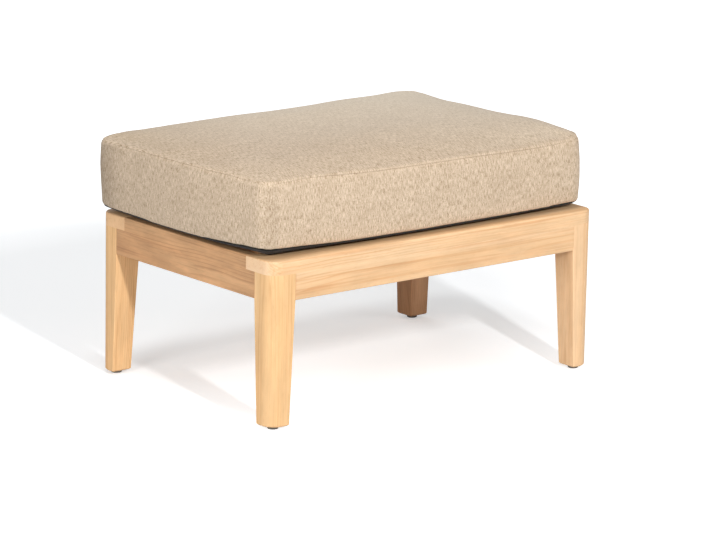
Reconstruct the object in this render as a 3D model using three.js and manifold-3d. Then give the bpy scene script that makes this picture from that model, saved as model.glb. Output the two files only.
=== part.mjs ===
// Outdoor ottoman footstool: a jointed teak frame with a slatted deck and a loose box cushion.
// Millimetres. +X runs along the long side, +Y from the front to the back, +Z up, floor at Z = 0.
// Everything is drawn about the middle of the frame, then moved so that the origin lies under
// the middle of the whole piece.
import * as THREE from "three";
import { mergeVertices } from "three/addons/utils/BufferGeometryUtils.js";
import Module from "manifold-3d";

const wasm = await Module();
wasm.setup();

// Frame as a whole
const frameLength = 700;
const frameWidth = 472;
const frameHeight = 281;
const fitGap = 0.3;
const overrun = 6;
const arcSteps = 10;

// Cap rails: the flat boards that run the full length over the legs
const capWidth = 70;
const capThickness = 23;
const cornerRadius = 25;
const capEdgeRadius = 3;
const capEdgeSteps = 3;

// Legs
const legWidth = 48;
const footWidth = 38.5;
const footChamfer = 2;
const legArris = 1;
const legTenonWidth = 20;
const legTenonHeight = 14;

// Aprons
const apronDrop = 67.5;
const apronThickness = 24;
const apronEdgeRadius = 2;
const tenonThickness = 10;
const tenonLength = 20;
const tenonShoulder = 7;

// Deck slats
const slatCount = 8;
const slatWidth = 68;
const slatThickness = 16;
const slatEdgeRadius = 2;
const tongueWidth = 44;
const tongueThickness = 7;
const tongueLength = 10;

// Batten under the slats and its screws
const battenWidth = 40;
const battenThickness = 18;
const battenEdgeRadius = 2;
const screwLength = 27;
const screwShankRadius = 1.9;
const screwHeadRadius = 4;
const screwHeadDepth = 2.4;
const screwTipLength = 4;
const screwRecess = 0.6;
const screwSides = 12;
const screwSocketRadius = 1.7;
const screwSocketDepth = 1.3;
const screwSocketSides = 6;

// Foot glides
const glideHeight = 6;
const glideTopRadius = 10;
const glideFloorRadius = 9;
const glideEdge = 0.8;
const glideStemRadius = 3;
const glideStemLength = 15;
const glideStemTaper = 2;
const glideInset = 1.5;
const glideSides = 24;

// Cushion
const cushionOverhang = 1;
const cushionSetIn = 7;
const cushionShiftX = -3;
const cushionShiftY = 16;
const cushionCornerRadius = 36;
const cushionLift = 8;
const boxingHeight = 113;
const crownHeight = 22;
const crownPower = 3.4;
const sideBow = 7;
const boxingBulge = 4;
const baseCornerLift = 2;
const seamCornerLift = 1.5;
const coverThickness = 2;
const foamGap = 0.3;
const restGap = 0.3;
const cornerSteps = 5;
const longSideSteps = 12;
const shortSideSteps = 8;
const crownShares = [1, 0.95, 0.86, 0.7, 0.48, 0.24];
const baseKneeShare = 0.86;
const baseCurve = 1.4;
const baseShares = [1, 0.94, baseKneeShare, 0.55];
const zipBandShare = 0.36;
const boxingShares = [0, 0.16, zipBandShare, 1 - zipBandShare, 0.84, 1];

// Zip in the back of the cover
const zipMargin = 91;
const zipTapeWidth = 26;
const zipTapeThickness = 1;
const zipTapeRecess = 0.4;
const coilHeadWidth = 5.6;
const coilNeckWidth = 4;
const coilNeckHeight = 1.3;
const coilHeadHeight = 0.9;
const coilEnd = 6;
const sliderLength = 14;
const sliderPlate = 1.4;
const sliderWall = 1.2;
const lugLength = 5;
const lugThickness = 1.2;
const pinRadius = 0.9;
const pinSides = 12;
const pullEyeRadius = 2.3;
const pullEyeWidth = 2.6;
const pullLength = 26;
const pullWidth = 6.4;
const pullThickness = 1.5;
const pullNeck = 3.4;
const pullCorner = 2;

// Heights and places that follow from the sizes above
const capUnderside = frameHeight - capThickness;
const apronLow = frameHeight - apronDrop;
const slatUnderside = frameHeight - slatThickness;
const halfLength = frameLength / 2;
const halfWidth = frameWidth / 2;
const deckHalfWidth = halfWidth - capWidth;
const deckHalfLength = halfLength - apronThickness;
const slatGap = (2 * deckHalfLength - slatCount * slatWidth) / (slatCount + 1);
const cushionLength = frameLength + 2 * cushionOverhang;
const cushionWidth = frameWidth - 2 * cushionSetIn;
const baseSeam = frameHeight + cushionLift;
const topSeam = baseSeam + boxingHeight;
const zipLength = cushionLength - 2 * zipMargin;
const zipSurface = cushionWidth / 2 + boxingBulge * Math.sin(Math.PI * zipBandShare);
const zipCentre = baseSeam + boxingHeight / 2;
const tapeFace = zipSurface - zipTapeRecess;
const coilTop = tapeFace + coilNeckHeight + coilHeadHeight;
const sliderTop = coilTop + fitGap + sliderPlate;
const pinLine = sliderTop + pullEyeRadius + fitGap;
const sliderRest = zipLength / 2 - coilEnd - fitGap - sliderLength / 2;

// Colours, roughness and metalness seen in the photograph
const teakFront = new THREE.MeshStandardMaterial({ color: 0xe0b27e, roughness: 0.6 });
const teakRail = new THREE.MeshStandardMaterial({ color: 0xe4b884, roughness: 0.6 });
const teakSlat = new THREE.MeshStandardMaterial({ color: 0xd9a873, roughness: 0.65 });
const weave = new THREE.MeshStandardMaterial({ color: 0xc8b294, roughness: 0.95 });
const baseCloth = new THREE.MeshStandardMaterial({ color: 0x2c211b, roughness: 0.95 });
const foam = new THREE.MeshStandardMaterial({ color: 0xe9e2cf, roughness: 1 });
const nylon = new THREE.MeshStandardMaterial({ color: 0x6f6d69, roughness: 0.5 });
const steel = new THREE.MeshStandardMaterial({ color: 0xb4b6b8, roughness: 0.35, metalness: 0.9 });
const zipCloth = new THREE.MeshStandardMaterial({ color: 0xb7a285, roughness: 0.9 });

// Turns a closed geometry into a solid that can be cut and joined
function solidOf(geometry) {
  const bare = geometry.clone();
  bare.deleteAttribute("normal");
  bare.deleteAttribute("uv");
  const merged = mergeVertices(bare);
  const mesh = new wasm.Mesh({
    numProp: 3,
    vertProperties: new Float32Array(merged.attributes.position.array),
    triVerts: new Uint32Array(merged.index.array),
  });
  return new wasm.Manifold(mesh);
}

// Gives a finished solid back as a named mesh
function meshOf(name, solid, material) {
  const result = solid.getMesh();
  const geometry = new THREE.BufferGeometry();
  geometry.setAttribute("position", new THREE.BufferAttribute(result.vertProperties, 3));
  geometry.setIndex(new THREE.BufferAttribute(result.triVerts, 1));
  geometry.computeVertexNormals();
  const mesh = new THREE.Mesh(geometry, material);
  mesh.name = name;
  return mesh;
}

// A block between two corners
function block(low, high) {
  const [width, depth, height] = high.map((value, axis) => value - low[axis]);
  const geometry = new THREE.BoxGeometry(width, depth, height);
  geometry.translate(...high.map((value, axis) => (value + low[axis]) / 2));
  return solidOf(geometry);
}

// A rectangle whose corners are rounded; the radii run from the low left corner anticlockwise
function roundedRectangle(left, low, right, high, radii) {
  const [a, b, c, d] = radii;
  const shape = new THREE.Shape();
  shape.moveTo(left + a, low);
  shape.lineTo(right - b, low);
  if (b > 0) shape.absarc(right - b, low + b, b, -Math.PI / 2, 0, false);
  shape.lineTo(right, high - c);
  if (c > 0) shape.absarc(right - c, high - c, c, 0, Math.PI / 2, false);
  shape.lineTo(left + d, high);
  if (d > 0) shape.absarc(left + d, high - d, d, Math.PI / 2, Math.PI, false);
  shape.lineTo(left, low + a);
  if (a > 0) shape.absarc(left + a, low + a, a, Math.PI, 1.5 * Math.PI, false);
  return shape;
}

// Extrudes a shape drawn in Y and Z along X
function barAlongX(shape, from, to, curveSegments) {
  const geometry = new THREE.ExtrudeGeometry(shape, {
    depth: to - from,
    bevelEnabled: false,
    curveSegments,
  });
  const basis = new THREE.Matrix4().makeBasis(
    new THREE.Vector3(0, 1, 0),
    new THREE.Vector3(0, 0, 1),
    new THREE.Vector3(1, 0, 0),
  );
  geometry.applyMatrix4(basis);
  geometry.translate(from, 0, 0);
  return solidOf(geometry);
}

// Extrudes a shape drawn in X and Z, the same on both sides of its middle, along Y
function barAlongY(shape, from, to, curveSegments) {
  const geometry = new THREE.ExtrudeGeometry(shape, {
    depth: to - from,
    bevelEnabled: false,
    curveSegments,
  });
  const basis = new THREE.Matrix4().makeBasis(
    new THREE.Vector3(-1, 0, 0),
    new THREE.Vector3(0, 0, 1),
    new THREE.Vector3(0, 1, 0),
  );
  geometry.applyMatrix4(basis);
  geometry.translate(0, from, 0);
  return solidOf(geometry);
}

// A turned piece: the profile gives radius and height, and the axis stands at a place
function turned(profile, sides, x, y) {
  const points = profile.map(([radius, height]) => new THREE.Vector2(radius, height));
  const geometry = new THREE.LatheGeometry(points, sides);
  geometry.rotateX(Math.PI / 2);
  geometry.translate(x, y, 0);
  return solidOf(geometry);
}

// Joins each ring of a stack to the next with triangles; the counts of points are equal
function skin(rings, bands) {
  const count = rings[0].length;
  const indices = [];
  for (let level = 0; level < bands; level += 1) {
    const low = level * count;
    const high = ((level + 1) % rings.length) * count;
    for (let i = 0; i < count; i += 1) {
      const next = (i + 1) % count;
      indices.push(low + i, low + next, high + next, low + i, high + next, high + i);
    }
  }
  return indices;
}

// Turns points and triangles into a solid
function solidFrom(vertices, indices) {
  const geometry = new THREE.BufferGeometry();
  geometry.setAttribute("position", new THREE.Float32BufferAttribute(vertices.flat(), 3));
  geometry.setIndex(indices);
  return solidOf(geometry);
}

// A stack of rings as a hollow sleeve, whose last ring joins its first
function sleeve(rings) {
  return solidFrom(rings.flat(), skin(rings, rings.length));
}

// A stack of rings as a full body, whose ends close in fans
function loft(rings) {
  const count = rings[0].length;
  const vertices = rings.flat();
  const indices = skin(rings, rings.length - 1);
  const middle = (ring) =>
    ring
      .reduce((sum, point) => sum.map((value, axis) => value + point[axis]), [0, 0, 0])
      .map((value) => value / count);
  vertices.push(middle(rings[0]), middle(rings[rings.length - 1]));
  const first = vertices.length - 2;
  const last = (rings.length - 1) * count;
  for (let i = 0; i < count; i += 1) {
    const next = (i + 1) % count;
    indices.push(first, next, i, first + 1, last + i, last + next);
  }
  return solidFrom(vertices, indices);
}

// The four corners of the frame, named as seen from the front
const corners = [
  { name: "front_left", x: -1, y: -1 },
  { name: "front_right", x: 1, y: -1 },
  { name: "back_left", x: -1, y: 1 },
  { name: "back_right", x: 1, y: 1 },
];

// One level of a leg, measured inwards from the frame's outer corner
function legSection(corner, width, inset, height) {
  const radius = cornerRadius - inset;
  const points = [];
  for (let step = 0; step <= arcSteps; step += 1) {
    const angle = Math.PI + (step / arcSteps) * (Math.PI / 2);
    const reach = cornerRadius;
    points.push([reach + radius * Math.cos(angle), reach + radius * Math.sin(angle)]);
  }
  const near = inset;
  const far = width - inset;
  points.push([far - legArris, near], [far, near + legArris]);
  points.push([far, far - legArris], [far - legArris, far]);
  points.push([near + legArris, far], [near, far - legArris]);
  if (corner.x * corner.y < 0) points.reverse();
  return points.map(([u, v]) => [corner.x * (halfLength - u), corner.y * (halfWidth - v), height]);
}

// A tapered leg with its head tenon, two apron mortises and the hole for its glide
function leg(corner) {
  const place = (u, v) => [corner.x * (halfLength - u), corner.y * (halfWidth - v)];
  const between = (u0, u1, v0, v1, low, high) => {
    const [xa, ya] = place(u0, v0);
    const [xb, yb] = place(u1, v1);
    return block(
      [Math.min(xa, xb), Math.min(ya, yb), low],
      [Math.max(xa, xb), Math.max(ya, yb), high],
    );
  };
  const chamferWidth = footWidth + ((legWidth - footWidth) * footChamfer) / apronLow;
  let solid = loft([
    legSection(corner, footWidth, footChamfer, glideHeight),
    legSection(corner, chamferWidth, 0, glideHeight + footChamfer),
    legSection(corner, legWidth, 0, apronLow),
    legSection(corner, legWidth, 0, capUnderside),
  ]);
  const tenonLow = (legWidth - legTenonWidth) / 2;
  const tenonHigh = (legWidth + legTenonWidth) / 2;
  solid = solid.add(
    between(tenonLow, tenonHigh, tenonLow, tenonHigh, capUnderside - overrun, capUnderside + legTenonHeight),
  );
  const mortiseNear = tenonShoulder - fitGap;
  const mortiseFar = tenonShoulder + tenonThickness + fitGap;
  const mortiseEnd = legWidth - tenonLength - fitGap;
  solid = solid.subtract(
    between(
      mortiseEnd,
      legWidth + overrun,
      mortiseNear,
      mortiseFar,
      apronLow + tenonShoulder - fitGap,
      capUnderside - tenonShoulder + fitGap,
    ),
  );
  solid = solid.subtract(
    between(
      mortiseNear,
      mortiseFar,
      mortiseEnd,
      legWidth + overrun,
      apronLow + tenonShoulder - fitGap,
      capUnderside - tenonShoulder + fitGap,
    ),
  );
  const [x, y] = place(footWidth / 2 + glideInset, footWidth / 2 + glideInset);
  const hole = [
    [0, glideHeight - overrun],
    [glideStemRadius + fitGap, glideHeight - overrun],
    [glideStemRadius + fitGap, glideHeight + glideStemLength + fitGap],
    [0, glideHeight + glideStemLength + fitGap],
  ];
  solid = solid.subtract(turned(hole, glideSides, x, y));
  return meshOf("leg_" + corner.name, solid, teakFront);
}

// A nylon glide: a tapered pad on the floor and a stem up into the foot
function glide(corner) {
  const inset = footWidth / 2 + glideInset;
  const profile = [
    [0, 0],
    [glideFloorRadius - glideEdge, 0],
    [glideFloorRadius, glideEdge],
    [glideTopRadius, glideHeight],
    [glideStemRadius, glideHeight],
    [glideStemRadius, glideHeight + glideStemLength - glideStemTaper],
    [glideStemRadius - glideStemTaper / 2, glideHeight + glideStemLength],
    [0, glideHeight + glideStemLength],
  ];
  const solid = turned(
    profile,
    glideSides,
    corner.x * (halfLength - inset),
    corner.y * (halfWidth - inset),
  );
  return meshOf("glide_" + corner.name, solid, nylon);
}

// Where the middle of each slat lies along X
function slatCentre(index) {
  return -deckHalfLength + slatGap + slatWidth / 2 + index * (slatWidth + slatGap);
}

// A cap rail with rounded outer corners and arris, leg mortises below and slat mortises inside
function capRail(name, side) {
  const outline = roundedRectangle(
    -halfLength,
    -halfWidth,
    halfLength,
    -deckHalfWidth,
    [cornerRadius, cornerRadius, 0, 0],
  );
  const geometry = new THREE.ExtrudeGeometry(outline, {
    depth: capThickness,
    curveSegments: arcSteps,
    bevelSize: capEdgeRadius,
    bevelOffset: -capEdgeRadius,
    bevelThickness: capEdgeRadius,
    bevelSegments: capEdgeSteps,
  });
  geometry.translate(0, 0, capUnderside - capEdgeRadius);
  const reach = halfLength + overrun;
  const below = capUnderside - capEdgeRadius - overrun;
  let solid = solidOf(geometry).subtract(
    block([-reach, -halfWidth - overrun, below], [reach, overrun, capUnderside]),
  );
  for (const direction of [-1, 1]) {
    const middle = direction * (halfLength - legWidth / 2);
    const half = legTenonWidth / 2 + fitGap;
    const across = -halfWidth + legWidth / 2;
    solid = solid.subtract(
      block(
        [middle - half, across - half, capUnderside - overrun],
        [middle + half, across + half, capUnderside + legTenonHeight + fitGap],
      ),
    );
  }
  const tongueMiddle = frameHeight - slatThickness / 2;
  const tongueHalf = tongueThickness / 2 + fitGap;
  for (let index = 0; index < slatCount; index += 1) {
    const middle = slatCentre(index);
    const half = tongueWidth / 2 + fitGap;
    solid = solid.subtract(
      block(
        [middle - half, -deckHalfWidth - tongueLength - fitGap, tongueMiddle - tongueHalf],
        [middle + half, -deckHalfWidth + overrun, tongueMiddle + tongueHalf],
      ),
    );
  }
  if (side > 0) solid = solid.rotate([0, 0, 180]);
  return meshOf(name, solid, teakRail);
}

// A long apron below its cap rail, between two legs
function longApron(name, side) {
  const outer = side * halfWidth;
  const inner = side * (halfWidth - apronThickness);
  const shape = roundedRectangle(
    Math.min(outer, inner),
    apronLow,
    Math.max(outer, inner),
    capUnderside,
    [apronEdgeRadius, apronEdgeRadius, 0, 0],
  );
  const end = halfLength - legWidth;
  const near = side * (halfWidth - tenonShoulder);
  const far = side * (halfWidth - tenonShoulder - tenonThickness);
  const tenon = block(
    [-end - tenonLength, Math.min(near, far), apronLow + tenonShoulder],
    [end + tenonLength, Math.max(near, far), capUnderside - tenonShoulder],
  );
  return meshOf(name, barAlongX(shape, -end, end, capEdgeSteps).add(tenon), teakFront);
}

// A short apron at full depth, notched at its top ends where the cap rails pass
function sideApron(name, side) {
  const outer = side * halfLength;
  const inner = side * (halfLength - apronThickness);
  const half = apronThickness / 2;
  const middle = (outer + inner) / 2;
  const edge = apronEdgeRadius;
  const shape = roundedRectangle(-half, apronLow, half, frameHeight, [edge, edge, edge, edge]);
  const end = halfWidth - legWidth;
  const near = side * (halfLength - tenonShoulder);
  const far = side * (halfLength - tenonShoulder - tenonThickness);
  let solid = barAlongY(shape, -end, end, capEdgeSteps).translate([middle, 0, 0]);
  solid = solid.add(
    block(
      [Math.min(near, far), -end - tenonLength, apronLow + tenonShoulder],
      [Math.max(near, far), end + tenonLength, capUnderside - tenonShoulder],
    ),
  );
  for (const direction of [-1, 1]) {
    const from = direction * (deckHalfWidth - fitGap);
    const to = direction * (end + overrun);
    solid = solid.subtract(
      block(
        [middle - half - overrun, Math.min(from, to), capUnderside],
        [middle + half + overrun, Math.max(from, to), frameHeight + overrun],
      ),
    );
  }
  return meshOf(name, solid, teakFront);
}

// A screw's profile, or with a clearance the profile of its hole
function screwProfile(clearance) {
  const low = slatUnderside - battenThickness + screwRecess;
  const neck = low + screwHeadDepth;
  const tip = low + screwLength;
  const head = screwHeadRadius + clearance;
  const shank = screwShankRadius + clearance;
  if (clearance > 0) {
    const mouth = low - screwRecess - overrun;
    return [
      [0, mouth],
      [head, mouth],
      [head, low + clearance],
      [shank, neck + clearance],
      [shank, tip + clearance],
      [0, tip + clearance],
    ];
  }
  return [
    [0, low],
    [head, low],
    [shank, neck],
    [shank, tip - screwTipLength],
    [0, tip],
  ];
}

// A deck slat with a tongue at each end
function slat(index) {
  const half = slatWidth / 2;
  const edge = slatEdgeRadius;
  const shape = roundedRectangle(-half, slatUnderside, half, frameHeight, [edge, edge, edge, edge]);
  const reach = deckHalfWidth - fitGap;
  const middle = slatCentre(index);
  const tongueMiddle = frameHeight - slatThickness / 2;
  let solid = barAlongY(shape, -reach, reach, capEdgeSteps);
  solid = solid.add(
    block(
      [-tongueWidth / 2, -deckHalfWidth - tongueLength, tongueMiddle - tongueThickness / 2],
      [tongueWidth / 2, deckHalfWidth + tongueLength, tongueMiddle + tongueThickness / 2],
    ),
  );
  solid = solid.translate([middle, 0, 0]);
  solid = solid.subtract(turned(screwProfile(fitGap), screwSides, middle, 0));
  return meshOf("deck_slat_" + (index + 1), solid, teakSlat);
}

// The batten that ties the slats together from below
function batten() {
  const edge = battenEdgeRadius;
  const shape = roundedRectangle(
    -battenWidth / 2,
    slatUnderside - battenThickness,
    battenWidth / 2,
    slatUnderside,
    [edge, edge, 0, 0],
  );
  const reach = deckHalfLength - fitGap;
  let solid = barAlongX(shape, -reach, reach, capEdgeSteps);
  for (let index = 0; index < slatCount; index += 1) {
    solid = solid.subtract(turned(screwProfile(fitGap), screwSides, slatCentre(index), 0));
  }
  return meshOf("slat_batten", solid, teakSlat);
}

// A countersunk screw up through the batten into one slat, with a hexagon socket in its head
function screw(index) {
  const low = slatUnderside - battenThickness + screwRecess;
  const socket = [
    [0, low - overrun],
    [screwSocketRadius, low - overrun],
    [screwSocketRadius, low + screwSocketDepth],
    [0, low + screwSocketDepth],
  ];
  const middle = slatCentre(index);
  const solid = turned(screwProfile(0), screwSides, middle, 0).subtract(
    turned(socket, screwSocketSides, middle, 0),
  );
  return meshOf("batten_screw_" + (index + 1), solid, steel);
}

// The cushion's plan as points with a corner share: 1 at a corner and 0 halfway along a side.
// The front and the ends bow outwards; the back, which holds the zip, is straight.
function cushionPlan(growth) {
  const a = cushionLength / 2 + growth;
  const b = cushionWidth / 2 + growth;
  const radius = cushionCornerRadius + growth;
  const points = [];
  const side = (from, to, normal, bow, steps) => {
    for (let step = 1; step < steps; step += 1) {
      const share = step / steps;
      const swell = Math.sin(Math.PI * share);
      points.push({
        x: from[0] + (to[0] - from[0]) * share + normal[0] * bow * swell,
        y: from[1] + (to[1] - from[1]) * share + normal[1] * bow * swell,
        corner: 1 - swell,
      });
    }
  };
  const arc = (signX, signY, start) => {
    for (let step = 0; step <= cornerSteps; step += 1) {
      const angle = start + (step / cornerSteps) * (Math.PI / 2);
      points.push({
        x: signX * (a - radius) + radius * Math.cos(angle),
        y: signY * (b - radius) + radius * Math.sin(angle),
        corner: 1,
      });
    }
  };
  arc(1, 1, 0);
  side([a - radius, b], [radius - a, b], [0, 1], 0, longSideSteps);
  arc(-1, 1, Math.PI / 2);
  side([-a, b - radius], [-a, radius - b], [-1, 0], sideBow, shortSideSteps);
  arc(-1, -1, Math.PI);
  side([radius - a, -b], [a - radius, -b], [0, -1], sideBow, longSideSteps);
  arc(1, -1, 1.5 * Math.PI);
  side([a, radius - b], [a, b - radius], [1, 0], sideBow, shortSideSteps);
  return points;
}

// A ring of the boxing at a share of its height
function boxingRing(share, inset) {
  const growth = boxingBulge * Math.sin(Math.PI * share) - inset;
  return cushionPlan(growth).map((point) => {
    const low = baseSeam + baseCornerLift * point.corner;
    const high = topSeam + seamCornerLift * point.corner;
    return [point.x, point.y, low + (high - low) * share];
  });
}

// How much of the crown's height is left at a share of the way out to the side
function crownShare(share, reach, half) {
  const across = Math.min(1, Math.abs(reach) / half) * share;
  return 1 - across ** crownPower;
}

// A ring of the crowned top, at a share of the plan; it falls away towards all four sides
function crownRing(share, inset, drop) {
  const halfX = cushionLength / 2 - inset;
  const halfY = cushionWidth / 2 - inset;
  return cushionPlan(-inset).map((point) => {
    const seam = topSeam + seamCornerLift * point.corner * share ** 2;
    const left = crownShare(share, point.x, halfX) * crownShare(share, point.y, halfY);
    return [point.x * share, point.y * share, seam + crownHeight * left - drop];
  });
}

// A ring of the base, which lifts from the deck towards its seam
function baseRing(share, inset, rise) {
  const rest = frameHeight + restGap;
  const slope = Math.max(0, (share - baseKneeShare) / (1 - baseKneeShare)) ** baseCurve;
  return cushionPlan(-inset).map((point) => {
    const seam = baseSeam + baseCornerLift * point.corner;
    return [point.x * share, point.y * share, rest + (seam - rest) * slope + rise];
  });
}

// Puts a cushion piece where the cushion lies on the frame
function onFrame(solid) {
  return solid.translate([cushionShiftX, cushionShiftY, 0]);
}

// The crowned top panel of the cover
function topPanel() {
  const outer = crownShares.map((share) => crownRing(share, 0, 0));
  const inner = crownShares.map((share) => crownRing(share, 0, coverThickness));
  const seamGap = crownRing(1, 0, coverThickness - fitGap);
  const solid = loft([...inner.slice(1).reverse(), seamGap, ...outer]);
  return meshOf("cover_top_panel", onFrame(solid), weave);
}

// The base panel of the cover, flat where it rests on the deck
function basePanel() {
  const outer = baseShares.map((share) => baseRing(share, 0, 0));
  const inner = baseShares.map((share) => baseRing(share, 0, coverThickness));
  const solid = loft([...outer.slice().reverse(), ...inner]);
  return meshOf("cover_base_panel", onFrame(solid), baseCloth);
}

// The boxing all round, between the two seams, with the slot for the zip in its back
function boxing() {
  const wall = (inset) =>
    boxingShares.map((share) => {
      const trim = share === 0 ? 1 : share === 1 ? -1 : 0;
      const lift = trim * (coverThickness + fitGap);
      return boxingRing(share, inset).map(([x, y, z]) => [x, y, z + lift]);
    });
  const reach = zipLength / 2 + fitGap;
  const half = zipTapeWidth / 2 + fitGap;
  const slot = block(
    [-reach, zipSurface - coverThickness - overrun, zipCentre - half],
    [reach, zipSurface + overrun, zipCentre + half],
  );
  const band = sleeve([...wall(0), ...wall(coverThickness).reverse()]);
  const solid = band.subtract(slot);
  return meshOf("cover_boxing", onFrame(solid), weave);
}

// The foam core fills the cover with a small gap all round
function foamCore() {
  const inset = coverThickness + foamGap;
  const top = crownShares.map((share) => crownRing(share, inset, inset + foamGap));
  const low = baseShares.map((share) => baseRing(share, inset, inset));
  const walls = boxingShares.slice(1, -1).map((share) => boxingRing(share, inset));
  const solid = loft([...low.slice().reverse(), ...walls, ...top]);
  return meshOf("foam_core", onFrame(solid), foam);
}

// The zip tape, sewn in behind the slot
function zipTape() {
  const solid = block(
    [-zipLength / 2, tapeFace - zipTapeThickness, zipCentre - zipTapeWidth / 2],
    [zipLength / 2, tapeFace, zipCentre + zipTapeWidth / 2],
  );
  return meshOf("zip_tape", onFrame(solid), zipCloth);
}

// The coil with its narrow neck, and a stop at each end as wide as the slider
function zipCoil() {
  const neck = coilNeckWidth / 2;
  const head = coilHeadWidth / 2;
  const shoulder = tapeFace + coilNeckHeight;
  const shape = new THREE.Shape();
  shape.moveTo(tapeFace, zipCentre - neck);
  shape.lineTo(shoulder, zipCentre - neck);
  shape.lineTo(shoulder, zipCentre - head);
  shape.lineTo(coilTop, zipCentre - head);
  shape.lineTo(coilTop, zipCentre + head);
  shape.lineTo(shoulder, zipCentre + head);
  shape.lineTo(shoulder, zipCentre + neck);
  shape.lineTo(tapeFace, zipCentre + neck);
  shape.closePath();
  const half = head + fitGap + sliderWall;
  let solid = barAlongX(shape, -zipLength / 2, zipLength / 2, 1);
  for (const direction of [-1, 1]) {
    const end = direction * (zipLength / 2);
    const start = direction * (zipLength / 2 - coilEnd);
    solid = solid.add(
      block(
        [Math.min(start, end), tapeFace, zipCentre - half],
        [Math.max(start, end), coilTop, zipCentre + half],
      ),
    );
  }
  return meshOf("zip_coil", onFrame(solid), zipCloth);
}

// The slider: a plate over the coil, walls down its sides, lips under its head, and two lugs
function zipSlider() {
  const head = coilHeadWidth / 2 + fitGap;
  const neck = coilNeckWidth / 2 + fitGap;
  const outer = head + sliderWall;
  const lipLow = tapeFace + fitGap;
  const lipHigh = tapeFace + coilNeckHeight - fitGap;
  const underside = coilTop + fitGap;
  const shape = new THREE.Shape();
  shape.moveTo(lipLow, zipCentre - outer);
  shape.lineTo(sliderTop, zipCentre - outer);
  shape.lineTo(sliderTop, zipCentre + outer);
  shape.lineTo(lipLow, zipCentre + outer);
  shape.lineTo(lipLow, zipCentre + neck);
  shape.lineTo(lipHigh, zipCentre + neck);
  shape.lineTo(lipHigh, zipCentre + head);
  shape.lineTo(underside, zipCentre + head);
  shape.lineTo(underside, zipCentre - head);
  shape.lineTo(lipHigh, zipCentre - head);
  shape.lineTo(lipHigh, zipCentre - neck);
  shape.lineTo(lipLow, zipCentre - neck);
  shape.closePath();
  const low = sliderRest - sliderLength / 2;
  const high = sliderRest + sliderLength / 2;
  let solid = barAlongX(shape, low, high, 1);
  const inside = pullEyeWidth / 2 + fitGap;
  const outside = inside + lugThickness;
  for (const direction of [-1, 1]) {
    const from = direction * inside;
    const to = direction * outside;
    solid = solid.add(
      block(
        [sliderRest - lugLength / 2, sliderTop - sliderPlate / 2, zipCentre + Math.min(from, to)],
        [sliderRest + lugLength / 2, pinLine + pinRadius * 2, zipCentre + Math.max(from, to)],
      ),
    );
  }
  const pin = new THREE.CylinderGeometry(pinRadius, pinRadius, 2 * inside + lugThickness, pinSides);
  pin.rotateX(Math.PI / 2);
  pin.translate(sliderRest, pinLine, zipCentre);
  solid = solid.add(solidOf(pin));
  return meshOf("zip_slider", onFrame(solid), steel);
}

// The pull: an eye round the slider's pin and a flat tab
function zipPull() {
  const eye = new THREE.Shape();
  eye.absarc(0, 0, pullEyeRadius, 0, 2 * Math.PI, false);
  const eyeSolid = solidOf(
    new THREE.ExtrudeGeometry(eye, { depth: pullEyeWidth, bevelEnabled: false, curveSegments: pinSides }),
  ).translate([0, 0, -pullEyeWidth / 2]);
  const tab = new THREE.Shape();
  const half = pullWidth / 2;
  const neck = pullEyeWidth / 2;
  tab.moveTo(0, -neck);
  tab.lineTo(0, neck);
  tab.lineTo(-pullNeck, neck);
  tab.lineTo(-pullNeck - pullCorner, half);
  tab.lineTo(pullCorner - pullLength, half);
  tab.lineTo(-pullLength, half - pullCorner);
  tab.lineTo(-pullLength, pullCorner - half);
  tab.lineTo(pullCorner - pullLength, -half);
  tab.lineTo(-pullNeck - pullCorner, -half);
  tab.lineTo(-pullNeck, -neck);
  tab.closePath();
  const flat = new THREE.ExtrudeGeometry(tab, { depth: pullThickness, bevelEnabled: false });
  flat.translate(0, 0, -pullThickness / 2);
  flat.rotateX(Math.PI / 2);
  const bore = new THREE.CylinderGeometry(
    pinRadius + fitGap,
    pinRadius + fitGap,
    pullEyeWidth + overrun,
    pinSides,
  );
  bore.rotateX(Math.PI / 2);
  const solid = eyeSolid
    .add(solidOf(flat))
    .subtract(solidOf(bore))
    .translate([sliderRest, pinLine, zipCentre]);
  return meshOf("zip_pull", onFrame(solid), steel);
}

// Puts all the pieces together
function buildOttoman() {
  const ottoman = new THREE.Group();
  ottoman.name = "ottoman";
  for (const corner of corners) {
    ottoman.add(leg(corner), glide(corner));
  }
  ottoman.add(capRail("cap_rail_front", -1), capRail("cap_rail_back", 1));
  ottoman.add(longApron("apron_front", -1), longApron("apron_back", 1));
  ottoman.add(sideApron("apron_left", -1), sideApron("apron_right", 1));
  for (let index = 0; index < slatCount; index += 1) {
    ottoman.add(slat(index), screw(index));
  }
  ottoman.add(batten());
  ottoman.add(foamCore(), topPanel(), boxing(), basePanel());
  ottoman.add(zipTape(), zipCoil(), zipSlider(), zipPull());
  return ottoman;
}

// Moves the whole so that the origin lies under the middle of its extents
function centred(ottoman) {
  const extents = new THREE.Box3().setFromObject(ottoman);
  const middle = extents.getCenter(new THREE.Vector3());
  ottoman.position.set(-middle.x, -middle.y, 0);
  return ottoman;
}

export default centred(buildOttoman());
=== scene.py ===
"""Dresses the outdoor ottoman: jointed teak frame, slatted deck and a stuffed box cushion."""
import logging
import math
from collections.abc import Callable, Iterable
from dataclasses import dataclass, field
from enum import Enum
from functools import partial

import bmesh
import bpy
from mathutils import Matrix, Vector, kdtree, noise


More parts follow.
